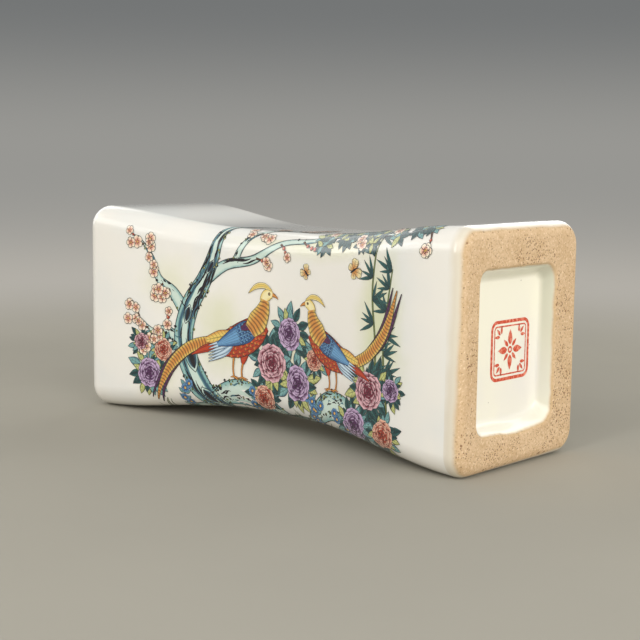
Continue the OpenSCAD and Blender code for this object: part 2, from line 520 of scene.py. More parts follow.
wallGrid = {"stations": 121, "columns": 61, "flatShare": 0.4, "weld": 0.001 * mm}
walls = {  # node, turn, sizes and finish
    "frontWall": ("front_slab", quarterTurn, uprightSizes, enamelledGlaze),
    "backWall": ("back_slab", -quarterTurn, uprightSizes, whiteGlaze),
    "topWall": ("top_slab", 0.0, levelSizes, whiteGlaze),
    "bottomWall": ("bottom_slab", math.pi, levelSizes, whiteGlaze),
}


def wallTree():
    inputs = {"Start": 0.0, "Finish": 0.0, "Turn": 0.0, "Thickness": pillow["wall"]}
    tree, given, results = pieceTree("Mitred wall", inputs)
    counts = {"Vertices X": wallGrid["stations"], "Vertices Y": wallGrid["columns"]}
    grid = put("GeometryNodeMeshGrid", {"Size X": 2.0, "Size Y": 2.0} | counts, tree=tree)
    x, y = flatPlace(tree)
    along = (x * 0.5 + 0.5) * (given["Finish"] - given["Start"]) + given["Start"]
    # the middle columns share the flat, the outer ones the half corner up to the mitre
    share = wallGrid["flatShare"]
    column = abs(y)
    onFlat = lowest(column / share, 1.0) * onSurface(given, along, 0.0, 0.0, "Flat half")
    onCorner = highest(column - share, 0.0) / (1 - share) * (quarterTurn / 2) * given["Edge radius"]
    girth = calc("SIGN", y) * (onFlat + onCorner)
    inner = onSurface(given, along, girth, given["Thickness"] * -1.0)
    marked = store(grid, "outerPlace", onSurface(given, along, girth, 0.0), "FLOAT_VECTOR")
    inside = put("GeometryNodeSetPosition", {"Geometry": marked, "Position": inner})
    shell, skin = put("GeometryNodeExtrudeMesh", {"Mesh": inside, "Individual": False}, ("Mesh", "Top"))
    outer = recall(tree, "outerPlace", "FLOAT_VECTOR")
    outside = put("GeometryNodeSetPosition", {"Geometry": shell, "Selection": skin, "Position": outer})
    joined = put("GeometryNodeJoinGeometry", {0: put("GeometryNodeFlipFaces", {"Mesh": inside})})
    feed(joined.socket.node.inputs, {0: outside})
    merged = put("GeometryNodeMergeByDistance", {"Geometry": joined, "Distance": wallGrid["weld"]})
    clean = put("GeometryNodeRemoveAttribute", {"Geometry": merged, "Name": "outerPlace"})
    finishTree(given, results, clean)
    return tree


mitredWall = wallTree()
for name, (node, turn, sizes, material) in walls.items():
    values = sizes | {"Start": pillow["closedFace"], "Finish": pillow["mouthFace"], "Turn": turn}
    piece = grow(name, newMesh(name, []), mitredWall, values | {"Material": material})
    settle(piece, "white_glaze", node)


# End pieces: loops of points around the pillow, lofted into a closed ring

cornerSteps = 20
sideSteps = 10
corners = [(1, 1), (-1, 1), (-1, -1), (1, -1)]


def roundedLoop(x, halfY, halfZ, radius, centreY=0.0, centreZ=midHeight):
    def onCorner(corner, turns):
        signY, signZ = corners[corner % 4]
        y = signY * (halfY - radius) + radius * math.cos(turns * quarterTurn)
        z = signZ * (halfZ - radius) + radius * math.sin(turns * quarterTurn)
        return Vector((x, centreY + y, centreZ + z))

    points = []
    for corner in range(4):
        points += [onCorner(corner, corner + step / cornerSteps) for step in range(cornerSteps + 1)]
        following = onCorner(corner + 1, corner + 1)
        points += [points[-1].lerp(following, step / sideSteps) for step in range(1, sideSteps)]
    return points


def waist(x, power):
    return 0.5 + 0.5 * math.cos(math.pi * min(1.0, abs(x) / pillow["halfLength"]) ** power)


def skinLoop(x, inset):
    halfY, halfZ = (half - draw * waist(x, power) - inset for half, draw, power in (depthwise, heightwise))
    return roundedLoop(x, halfY, halfZ, pillow["edgeRadius"] - inset)


# The turn from a wall onto an end face, from the wall outwards, as a superellipse that leaves both gently
turnSteps = 24
turnPower = 2 / 2.3
turnCrowding = 1.6  # rows close up where the turn leaves the wall
turnShares = [(step / turnSteps) ** turnCrowding for step in range(turnSteps + 1)]


def endTurn(face):
    reach = pillow["halfLength"] - abs(face)
    loops = []
    for share in turnShares:
        x = abs(face) + reach * math.sin(share * quarterTurn) ** turnPower
        inset = pillow["endRadius"] * (1 - math.cos(share * quarterTurn) ** turnPower)
        loops.append(skinLoop(math.copysign(x, face), inset))
    return loops


# A capped loft is closed by flat faces at its first and last loop, any other from its last loop to its first
def ringLoft(name, loops, material, capped=False):
    count = len(loops[0])
    faces = []
    if capped:
        last = (len(loops) - 1) * count
        faces += [tuple(range(count))[::-1], tuple(range(last, last + count))]
    for row in range(len(loops) - capped):
        start = row * count
        after = (row + 1) % len(loops) * count
        for column in range(count):
            across = (column + 1) % count
            faces.append((start + column, start + across, after + across, after + column))
    mesh = newMesh(name, [point for loop in loops for point in loop], faces)
    mesh.materials.append(material)
    smooth(mesh)
    return addObject(name, mesh)


vent = {"radius": 2 * mm, "lip": 0.8 * mm, "lipSteps": 5, "faceRows": (0.3, 0.6, 0.85)}


# A circle with one point for each point of another loop, in the same directions from its middle
def ventLoop(x, radius, pattern):
    middle = Vector((x, 0.0, midHeight))
    return [middle + Vector((0.0, point.y, point.z - midHeight)).normalized() * radius for point in pattern]


def closedEnd():
    outer = -pillow["halfLength"]
    turn = endTurn(pillow["closedFace"])
    rim = turn[-1]
    loops = [ventLoop(pillow["closedFace"], vent["radius"], rim)]
    for step in range(vent["lipSteps"] + 1):
        angle = step / vent["lipSteps"] * quarterTurn
        x = outer + vent["lip"] * (1 - math.sin(angle))
        loops.append(ventLoop(x, vent["radius"] + vent["lip"] * (1 - math.cos(angle)), rim))
    middle = Vector((outer, 0.0, midHeight))
    loops += [[middle.lerp(point, share) for point in rim] for share in vent["faceRows"]]
    return ringLoft("closedEnd", loops + turn[::-1], whiteGlaze)


settle(closedEnd(), "white_glaze", "closed_end_slab")

foot = {
    "openHalfY": 22 * mm, "openHalfZ": 27.5 * mm, "openRadius": 5 * mm, "floorRadius": 2.6 * mm,
    "centreY": -2.5 * mm, "centreZ": midHeight - 0.5 * mm,
    "faceRows": (0.12, 0.3, 0.5, 0.7, 0.88), "faceDepth": 10 * mm,
    "lip": 1.2 * mm, "slope": 3.8 * mm, "slopeSteps": 18,  # the walls of the recess swing down in an S
    "slopeY": 2.7 * mm, "slopeZ": 4.8 * mm,  # steeper at the sides than above and below
    "waves": ((1.0, 2, 0.7), (0.6, 3, 2.1), (0.3, 7, 0.0)), "wobble": 0.22 * mm,  # uneven as by hand
    "sag": 1.7 * mm, "sagSpan": 11 * mm,  # and dipped along the bottom
    "glazeLine": 3.2 * mm,  # how far the bare clay climbs the outer turn
    "glazeSlope": 1.3, "glazeFrom": 0.6,  # how fast it ends in the recess, and where on the lip that begins
    "lowFrontLoss": 2.2 * mm, "topLoss": 1.1 * mm, "backGain": 0.5 * mm,  # of glaze around the frame
    "wallShadeRise": 1.5 * mm, "wallShadeLeast": 0.35, "wallShadeGain": 0.5,  # painted shade on the recess walls: its rise from the floor, its least and its gain toward the top and back
}


def clamp(value):
    return min(1.0, max(0.0, value))


def recessLoop(x, inset):
    share = max(inset, 0.0) / foot["slope"]
    lip = -min(inset, 0.0)
    radius = foot["openRadius"] + (foot["floorRadius"] - foot["openRadius"]) * share + lip
    halfY = foot["openHalfY"] + lip - foot["slopeY"] * share
    halfZ = foot["openHalfZ"] + lip - foot["slopeZ"] * share
    loop = roundedLoop(x, halfY, halfZ, radius, foot["centreY"], foot["centreZ"])
    middle = Vector((x, foot["centreY"], foot["centreZ"]))
    for index, point in enumerate(loop):
        around = index / len(loop) * fullTurn
        push = sum(height * math.sin(count * around + start) for height, count, start in foot["waves"])
        loop[index] = point + (point - middle).normalized() * push * foot["wobble"]
        below = max(0.0, (foot["centreZ"] - point.z) / foot["openHalfZ"]) ** 3
        loop[index].z -= foot["sag"] * below * math.exp(-(point.y / foot["sagSpan"]) ** 2)
    return loop


# Rows of the frame from the wall over the outer turn, across the face and down the recess, each with its
# depth into the bare clay and whether it is in the recess
def footRows():
    face = pillow["halfLength"]
    floor = pillow["mouthFace"]
    rows = []
    turn = endTurn(floor)
    for share, loop in zip(turnShares, turn):
        rows.append((loop, foot["glazeLine"] - (1 - share) * quarterTurn * pillow["endRadius"], 0.0))
    mouth = recessLoop(face, -foot["lip"])
    for share in foot["faceRows"]:
        depth = foot["glazeLine"] + min(share, 1 - share) * foot["faceDepth"]
        rows.append(([a.lerp(b, share) for a, b in zip(turn[-1], mouth)], depth, 0.0))
    for step in range(foot["slopeSteps"] + 1):
        share = step / foot["slopeSteps"]
        x = face - (face - floor) * (0.5 - 0.5 * math.cos(math.pi * share))
        inset = share * (foot["lip"] + foot["slope"]) - foot["lip"]
        inside = float(inset > -foot["glazeFrom"] * foot["lip"])
        rows.append((recessLoop(x, inset), -foot["glazeSlope"] * inset, inside))
    return rows


def footFrame():
    rows = footRows()
    piece = ringLoft("footFrame", [row[0] for row in rows], bareFoot)
    values = {"bareDepth": [], "recess": [], "wallShading": []}
    for loop, depth, inside in rows:
        for point in loop:
            back = point.y / pillow["halfDepth"]
            above = (point.z - midHeight) / pillow["halfHeight"]
            loss = foot["lowFrontLoss"] * (1 - back) * (1 - above) / 4
            loss += foot["topLoss"] * max(above, 0.0) ** 4 - foot["backGain"] * max(back, 0.0) ** 4
            values["bareDepth"].append(depth + (1 - inside) * loss)
            values["recess"].append(inside)
            # painted shade: the recess walls are tinted grey, most toward the top and back walls and fading
            # out at the floor
            topAndBack = (point.y - foot["centreY"]) / foot["openHalfY"]
            topAndBack += (point.z - foot["centreZ"]) / foot["openHalfZ"]
            climb = clamp((point.x - pillow["mouthFace"]) / foot["wallShadeRise"])
            values["wallShading"].append(inside * climb * clamp(foot["wallShadeLeast"] + foot["wallShadeGain"] * topAndBack))
    for label, numbers in values.items():
        carry(piece.data, label, numbers)
    return piece


settle(footFrame(), "biscuit", "foot_frame")


def basePanel():
    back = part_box("base_panel")[0].x
    loops = [skinLoop(x, pillow["wall"]) for x in (back, pillow["mouthFace"])]
    return ringLoft("basePanel", loops, ivoryGlaze, capped=True)


settle(basePanel(), "ivory_glaze", "base_panel")

# Red mark on the floor of the recess: a double rounded frame around a rosette and corner sprays, sizes in mm
mark = {
    "centre": (0.8, 39.8), "half": (11.3, 10.4), "radius": 3.4, "lift": 0.06,
    "frames": ((0.0, 1.15), (1.9, 0.5)),  # inset and width of each line
    "hub": (0.5, 1.2), "petals": 8, "petalFrom": 1.7, "petalSteps": 10, "petalFullness": 0.75,
    "petal": ((5.3, 1.25), (3.4, 0.7)),  # length and half width, long and short in turn
    "sprayAt": 0.46, "sprayFrom": 0.9, "spray": (3.0, 0.6), "sprayTurns": (-0.8, 0.0, 0.8),
    "red": paint(212, 80, 50), "thin": paint(238, 146, 118), "thinFade": (0.45, 0.72),
    "blotchScale": 800.0, "roughness": 0.18,
}


def ironRed():
    material, tree, shader = newMaterial("ironRed", {"Coat Weight": 0.4, "Coat Roughness": 0.06})
    blotch = noise(objectPlace(tree), mark["blotchScale"])
    colour = mixColour(fadeIn(blotch, *mark["thinFade"]), mark["red"], mark["thin"])
    paintOn(shader, colour, blotch, mark["roughness"])
    return material


def outFrom(at, angle, reach):
    return at[0] + math.cos(angle) * reach, at[1] + math.sin(angle) * reach


def baseMark():
    x = pillow["mouthFace"] + mark["lift"] * mm
    centreY, centreZ = mark["centre"]
    points = []
    faces = []

    def strip(left, right, closed):
        first = len(points)
        count = len(left)
        points.extend(point for pair in zip(left, right) for point in pair)
        for step in range(count if closed else count - 1):
            start = first + 2 * step
            after = first + 2 * ((step + 1) % count)
            faces.append((start, after, after + 1, start + 1))

    def frameLoop(halfY, halfZ, radius):
        return roundedLoop(x, halfY * mm, halfZ * mm, radius * mm, centreY * mm, centreZ * mm)

    def petal(at, turn, length, halfWidth):
        sides = ([], [])
        for step in range(mark["petalSteps"] + 1):
            along = step / mark["petalSteps"]
            y, z = outFrom(at, turn, along * length)
            spread = halfWidth * math.sin(math.pi * along ** mark["petalFullness"])
            for side, lean in zip(sides, (-quarterTurn, quarterTurn)):
                across, above = outFrom((y, z), turn + lean, spread)
                side.append(Vector((x, (centreY + across) * mm, (centreZ + above) * mm)))
        strip(*sides, False)

    for inset, width in mark["frames"]:
        edges = [[size - gap for size in (*mark["half"], mark["radius"])] for gap in (inset, inset + width)]
        strip(frameLoop(*edges[0]), frameLoop(*edges[1]), True)
    inner, outer = mark["hub"]
    strip(frameLoop(outer, outer, outer), frameLoop(inner, inner, inner), True)
    for index in range(mark["petals"]):
        turn = index * fullTurn / mark["petals"]
        petal(outFrom((0, 0), turn, mark["petalFrom"]), turn, *mark["petal"][index % 2])
    for signY, signZ in corners:
        at = (signY * mark["half"][0] * mark["sprayAt"], signZ * mark["half"][1] * mark["sprayAt"])
        for lean in mark["sprayTurns"]:
            turn = math.atan2(signZ, signY) + lean
            petal(outFrom(at, turn, mark["sprayFrom"]), turn, *mark["spray"])
    mesh = newMesh("baseMark", points, faces)
    mesh.materials.append(ironRed())
    return addObject("baseMark", mesh)


settle(baseMark(), "ivory_glaze")
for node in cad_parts.values():
    if "seam_coil" in node.name:
        node.data.materials.clear()
        node.data.materials.append(rawClayFinish)
print("end pieces ready")


# Enamel picture on the front, drawn flat in mm: x along the pillow, s up the girth from the wall's middle

enamels = {
    "ink": paint(34, 30, 36), "cream": paint(250, 240, 214), "bark": paint(98, 70, 54),
    "teal": paint(66, 118, 112), "deepTeal": paint(28, 66, 68), "lime": paint(202, 204, 130),
    "moss": paint(116, 124, 66), "maroon": paint(112, 32, 54), "blush": paint(234, 188, 194),
    "plum": paint(84, 42, 86), "lilac": paint(210, 182, 214), "rust": paint(160, 56, 38),
    "coral": paint(226, 146, 120), "shell": paint(240, 192, 166), "mist": paint(210, 226, 212),
    "sky": paint(112, 162, 202), "deepBlue": paint(46, 82, 130), "paleSky": paint(206, 224, 234),
    "flame": paint(190, 66, 38), "amber": paint(214, 144, 70), "gold": paint(236, 204, 108),
    "straw": paint(248, 234, 180), "jade": paint(126, 174, 170), "slate": paint(62, 96, 114),
}


# A mark's colours, from its middle to its rim or by sweep from its base to its tip, and what is drawn on it
def look(core, rim, ink=0.2, sweep=0.0, start=0.1, veins=0.0, bars=0.0, stripes=0.0):
    return {"coreColour": enamels[core], "rimColour": enamels[rim], "ink": ink * mm, "sweep": sweep,
            "start": start, "veins": veins, "bars": bars, "stripes": stripes}


looks = {
    "bark": look("mist", "jade", ink=0.38),
    "barkShade": look("slate", "jade", ink=0.0),
    "hollow": look("ink", "slate", ink=0.0),
    "line": look("ink", "ink", ink=0.0),
    "twig": look("bark", "ink", ink=0.12),
    "tealLeaf": look("deepTeal", "teal", veins=4),
    "greyLeaf": look("jade", "slate", veins=4),
    "limeLeaf": look("lime", "moss", veins=4),
    "blade": look("deepTeal", "teal", ink=0.14, sweep=0.7),
    "maroonPetal": look("maroon", "blush", ink=0.17, sweep=1.0, start=0.66),
    "plumPetal": look("plum", "lilac", ink=0.17, sweep=1.0, start=0.66),
    "rustPetal": look("rust", "shell", ink=0.17, sweep=1.0, start=0.66),
    "bluePetal": look("deepBlue", "sky", ink=0.14, sweep=0.8),
    "plumBlossom": look("coral", "cream", sweep=1.0),
    "bud": look("rust", "coral", ink=0.16),
    "stamen": look("gold", "amber", ink=0.1),
    "breast": look("flame", "rust", ink=0.24),
    "scale": look("flame", "amber", ink=0.15, sweep=1.0, start=0.4),
    "wingScale": look("deepBlue", "sky", ink=0.15, sweep=1.0, start=0.3),
    "cape": look("amber", "gold", bars=9),
    "crest": look("gold", "straw", ink=0.16, stripes=3),
    "face": look("straw", "gold", ink=0.16),
    "wing": look("sky", "deepBlue", ink=0.22, stripes=7),
    "flight": look("paleSky", "sky", ink=0.18, stripes=2),
    "shoulder": look("plum", "maroon", veins=6),
    "rump": look("gold", "amber", veins=8),
    "tail": look("amber", "gold", ink=0.22, bars=30),
    "tailDark": look("plum", "bark", ink=0.22, bars=24),
    "covert": look("flame", "rust", ink=0.18, stripes=2),
    "leg": look("amber", "bark", ink=0.1),
    "grass": look("moss", "deepTeal", ink=0.0),
    "lichen": look("moss", "deepTeal", ink=0.0),
    "paleWing": look("amber", "straw", ink=0.18, sweep=1.0, veins=5),
}
rng = random.Random(11)
between = rng.uniform
strokes = []
stamps = {"leaf": [], "blade": [], "petal": [], "feather": [], "blossom": [], "dot": []}
layerStep = 0.009  # marks of one layer lie apart by less than this, in an order that never repeats
goldenShare = (math.sqrt(5) - 1) / 2


# Adds a mark to a list, at its lift above the glaze in mm
def addMark(marks, points, finish, lift, **extras):
    lift += layerStep * (len(marks) * goldenShare % 1)
    marks.append({"points": points, "lift": lift * mm, **extras, **looks[finish]})


def brush(points, finish, lift):
    addMark(strokes, points, finish, lift)


def press(motif, at, turn, size, finish, lift):
    addMark(stamps[motif], [(*at, 0.0)], finish, lift, turn=turn, size=size * mm)


# A place on a smooth line through points, with the line's half width and heading there
def pointOn(points, share):
    place = share * (len(points) - 1)
    index = min(int(place), len(points) - 2)
    t = place - index
    near = [points[min(max(index + step, 0), len(points) - 1)] for step in range(-1, 3)]
    before, start, finish, after = (Vector(point) for point in near)
    slope = finish - before
    bend = 2 * before - 5 * start + 4 * finish - after
    twist = 3 * start - before - 3 * finish + after
    spot = start + (slope * t + bend * t ** 2 + twist * t ** 3) / 2
    way = slope + 2 * bend * t + 3 * twist * t ** 2
    return spot.x, spot.y, spot.z, math.atan2(way.y, way.x)


def beside(spot, share):
    x, s, halfWidth, heading = spot
    return x - math.sin(heading) * halfWidth * share, s + math.cos(heading) * halfWidth * share


def eitherSide():
    return rng.choice((-1, 1))


# Old plum tree: lines of x, s and half width

plum = {
    "trunk": [(-22, -46, 6.4), (-28, -36, 5.7), (-37, -24, 5.2), (-43, -10, 4.7), (-40, 4, 4.3),
              (-33, 15, 3.6), (-28, 26, 2.8), (-26, 36, 1.9), (-21, 46, 0.9), (-13, 54, 0.2)],
    "limbs": [
        [(-41, 0, 3.1), (-48, 9, 2.5), (-55, 14, 1.8), (-59, 23, 1.1), (-65, 30, 0.3)],
        [(-35, 13, 2.8), (-23, 21, 2.2), (-9, 24, 1.8), (5, 31, 1.4), (19, 33, 1.2), (36, 37, 1.0),
         (58, 38, 0.8), (80, 40, 0.3)],
        [(-43, -12, 2.6), (-51, -6, 1.9), (-58, -7, 1.1), (-65, -2, 0.3)],
        [(-18, 23, 1.6), (-12, 33, 1.2), (-1, 41, 0.7), (8, 49, 0.2)],
    ],
    "roots": [
        [(-24, -40, 4.4), (-14, -39, 3.0), (-6, -45, 1.1)],
        [(-29, -38, 4.4), (-40, -39, 3.1), (-52, -46, 1.1)],
    ],
    # x, s, half width, half length and turn
    "hollows": [(-39, -16, 2.2, 4.4, 1.9), (-31, -31, 1.9, 3.8, 2.3), (-41, 1, 1.4, 3.0, 1.3),
                (-30, 20, 1.0, 2.6, 1.0)],
    "hollowRings": ((1.35, "bark", 0.13), (1.0, "hollow", 0.142)),  # swell, finish and lift
    "trunkMarks": 60, "limbMarks": 16, "limbMoss": 14, "trunkMoss": ((60, -1), (40, 1)),  # count and side
    "shadeSteps": 8, "shadeAt": (-0.55, 0.5), "shadeWidth": 0.22,  # the last two in half widths
    "twigs": 7, "twigsFrom": 0.3, "twigLength": (5, 9), "twigTurn": (0.5, 1.0), "twigBend": (-0.4, 0.4),
    "blossomsAt": (0.45, 0.75, 1.0), "blossomShare": 0.72, "blossom": (2.0, 2.9), "bud": (0.6, 1.0),
    "stamens": 6, "stamenReach": 0.32, "stamenSize": 0.08, "heartSize": 0.15,  # sizes as shares of it
    "leafyLimb": 1, "tufts": 26, "tuftsAt": (0.62, 1.0), "tuftReach": 4, "tuftLeaves": 7,
    "tuftLeaf": (3.4, 5.4), "tuftShades": ("tealLeaf", "tealLeaf", "greyLeaf", "limeLeaf"),
}

# Inked dashes and moss along a line: starts and runs are shares of its length, sides of its half width
barkInk = {"start": (0.02, 0.9), "run": (0.03, 0.1), "side": (0.15, 0.85), "shake": (-0.1, 0.1),
           "widths": (0.1, 0.34, 0.28, 0.08), "weight": (0.7, 1.4), "finishes": ("line", "barkShade", "line")}
mossDots = {"start": (0.0, 0.95), "side": (0.6, 1.1), "size": (0.25, 0.65),
            "finishes": ("lichen", "line", "limeLeaf")}


def barkMarks(spine, count, lift):
    widths = barkInk["widths"]
    for _ in range(count):
        start = between(*barkInk["start"])
        run = between(*barkInk["run"])
        side = eitherSide() * between(*barkInk["side"])
        dash = []
        for step, halfWidth in enumerate(widths):
            spot = pointOn(spine, min(start + run * step / (len(widths) - 1), 1.0))
            at = beside(spot, side + between(*barkInk["shake"]))
            dash.append((*at, halfWidth * between(*barkInk["weight"])))
        brush(dash, rng.choice(barkInk["finishes"]), lift)


def moss(spine, count, side, lift):
    for _ in range(count):
        spot = pointOn(spine, between(*mossDots["start"]))
        at = beside(spot, side * between(*mossDots["side"]))
        size = between(*mossDots["size"])
        press("dot", at, 0.0, size, rng.choice(mossDots["finishes"]), lift)


def plumFlower(at, size, lift):
    turn = between(0, fullTurn)
    press("blossom", at, turn, size, "plumBlossom", lift)
    for step in range(plum["stamens"]):
        tip = outFrom(at, turn + step * fullTurn / plum["stamens"], size * plum["stamenReach"])
        press("dot", tip, 0.0, size * plum["stamenSize"], "bud", lift + 0.02)
    press("dot", at, 0.0, size * plum["heartSize"], "stamen", lift + 0.02)


def twig(spot, side, length, lift):
    x, s, _, heading = spot
    angle = heading + side * between(*plum["twigTurn"])
    bend = between(*plum["twigBend"])
    line = [(x, s, 0.5)]
    for halfWidth in (0.4, 0.29, 0.18):
        angle += bend
        line.append((*outFrom(line[-1], angle, length / 3), halfWidth))
    brush(line, "twig", lift)
    for share in plum["blossomsAt"]:
        x, s, _, _ = pointOn(line, share)
        if rng.random() < plum["blossomShare"]:
            at = (x + between(-1, 1), s + between(-1, 1))
            plumFlower(at, between(*plum["blossom"]), lift + 0.05)
        else:
            press("dot", (x, s), 0.0, between(*plum["bud"]), "bud", lift + 0.04)


def knotHole(x, s, halfWidth, halfLength, turn):
    for swell, finish, lift in plum["hollowRings"]:
        plan = ((-1, 0.2), (-0.5, halfWidth * swell * 0.8), (0.33, halfWidth * swell), (1, 0.2))
        length = halfLength * swell
        brush([(*outFrom((x, s), turn, length * place), width) for place, width in plan], finish, lift)


def plumTree():
    trunk = plum["trunk"]
    for limb in plum["roots"] + plum["limbs"]:
        brush(limb, "bark", lift=0.09)
        barkMarks(limb, plum["limbMarks"], lift=0.115)
        moss(limb, plum["limbMoss"], 1, lift=0.12)
    brush(trunk, "bark", lift=0.1)
    spots = [pointOn(trunk, step / plum["shadeSteps"]) for step in range(plum["shadeSteps"] + 1)]
    for side in plum["shadeAt"]:
        shade = [(*beside(spot, side), spot[2] * plum["shadeWidth"]) for spot in spots]
        brush(shade, "barkShade", lift=0.108)
    barkMarks(trunk, plum["trunkMarks"], lift=0.12)
    for count, side in plum["trunkMoss"]:
        moss(trunk, count, side, lift=0.125)
    for hollow in plum["hollows"]:
        knotHole(*hollow)
    for limb in plum["limbs"]:
        for step in range(plum["twigs"]):
            share = plum["twigsFrom"] + (1 - plum["twigsFrom"]) * step / (plum["twigs"] - 1)
            twig(pointOn(limb, share), eitherSide(), between(*plum["twigLength"]), lift=0.135)


# Leaves in tufts along the outer part of the limb that crosses the top edge
def leafyBough():
    limb = plum["limbs"][plum["leafyLimb"]]
    count = plum["tuftLeaves"]
    for _ in range(plum["tufts"]):
        spot = pointOn(limb, between(*plum["tuftsAt"]))
        at = outFrom(spot[:2], spot[3] + eitherSide() * quarterTurn, between(0, plum["tuftReach"]))
        for leaf in range(count):
            turn = (leaf + between(-0.3, 0.3)) * fullTurn / count
            shade = rng.choice(plum["tuftShades"])
            press("leaf", at, turn, between(*plum["tuftLeaf"]), shade, lift=0.15 + 0.012 * (leaf % 2))


# Flowering shrubs

shrubs = {
    "heads": [  # place, radius and finish
        (10, -2, 6.4, "plumPetal"), (1, -14, 7.6, "maroonPetal"), (15, -20, 7.0, "plumPetal"),
        (-3, -28, 5.4, "rustPetal"), (24, -10, 4.6, "rustPetal"), (54, -17, 7.2, "maroonPetal"),
        (46, -30, 6.4, "plumPetal"), (61, -31, 5.6, "rustPetal"), (65, -15, 4.2, "plumPetal"),
        (-60, -24, 6.2, "plumPetal"), (-53, -14, 4.8, "rustPetal"), (-64, -12, 4.0, "maroonPetal"),
    ],
    "rings": ((9, 1.0), (8, 0.8), (7, 0.62), (5, 0.45), (4, 0.28)),  # petals and reach of each ring
    "leaves": ((12, 0.8, 0.95), (10, 0.5, 0.85)),  # count, start and size of each ring of leaves
    "leafShades": ("tealLeaf", "tealLeaf", "limeLeaf", "greyLeaf"), "leafVaries": (0.8, 1.25),
    "petalVaries": (0.92, 1.08), "ringLift": 0.012,
}


def flowerHead(at, radius, finish, lift):
    for ring, (count, reach) in enumerate(shrubs["rings"]):
        for petal in range(count):
            turn = fullTurn * (petal + ring / 2 + between(-0.2, 0.2)) / count
            size = radius * reach * between(*shrubs["petalVaries"])
            press("petal", at, turn, size, finish, lift + shrubs["ringLift"] * ring)


def floweringShrubs():
    for x, s, radius, finish in shrubs["heads"]:
        for ring, (count, start, size) in enumerate(shrubs["leaves"]):
            for leaf in range(count):
                turn = fullTurn * (leaf + between(-0.3, 0.3)) / count
                length = radius * size * between(*shrubs["leafVaries"])
                shade = rng.choice(shrubs["leafShades"])
                at = outFrom((x, s), turn, radius * start)
                lift = 0.15 + shrubs["ringLift"] * ring
                press("leaf", at, turn + between(-0.4, 0.4), length, shade, lift)
        flowerHead((x, s), radius, finish, lift=0.18)


# Mossy banks that the birds stand on

banks = {
    "lines": [
        [(-34, -36, 2.5), (-25, -30, 4.5), (-15, -27.5, 5.6), (-3, -31, 5.0), (8, -38, 2.5)],
        [(20, -36, 2.5), (27, -29, 4.5), (34, -25.5, 5.6), (44, -28, 5.0), (56, -39, 2.5)],
        [(-6, -44, 3.0), (12, -38, 4.5), (28, -40, 4.5), (40, -46, 3.0)],
    ],
    "marks": 40, "moss": ((60, 1), (30, -0.4)),  # count and side
}


def mossyBanks():
    for bank in banks["lines"]:
        brush(bank, "bark", lift=0.085)
        barkMarks(bank, banks["marks"], lift=0.095)
        for count, side in banks["moss"]:
            moss(bank, count, side, lift=0.105)


# Small blue asters and their grey leaves

asters = {
    "feet": [(-41, -41), (-9, -38), (21, -37), (27, -39), (36, -41)], "lean": (-3, 3), "rise": (11, 15),
    "leavesAt": (0.15, 0.34, 0.53, 0.72, 0.91), "leaf": (2.4, 3.6), "leafTurn": (0.6, 1.2),
    "flowersAt": (0.4, 0.6, 0.8, 1.0), "petals": 7, "petal": 2.0, "heart": 0.6,
}


def asterSprays():
    for x, s in asters["feet"]:
        lean = between(*asters["lean"])
        rise = between(*asters["rise"])
        stem = [(x, s, 0.35), (x + lean, s + rise / 2, 0.3), (x + lean * 0.4, s + rise, 0.2)]
        brush(stem, "twig", lift=0.13)
        for share in asters["leavesAt"]:
            x, s, _, heading = pointOn(stem, share)
            for side in (-1, 1):
                turn = heading + side * between(*asters["leafTurn"])
                press("leaf", (x, s), turn, between(*asters["leaf"]), "greyLeaf", lift=0.14)
        for share in asters["flowersAt"]:
            x, s, _, _ = pointOn(stem, share)
            at = (x + between(-2.4, 2.4), s + between(-1, 1))
            turn = between(0, 1)
            for petal in range(asters["petals"]):
                angle = turn + petal * fullTurn / asters["petals"]
                press("petal", at, angle, asters["petal"], "bluePetal", lift=0.16)
            press("dot", at, 0.0, asters["heart"], "stamen", lift=0.178)


# Pheasants, drawn facing right with their feet at the origin: finish, lift and line of each part

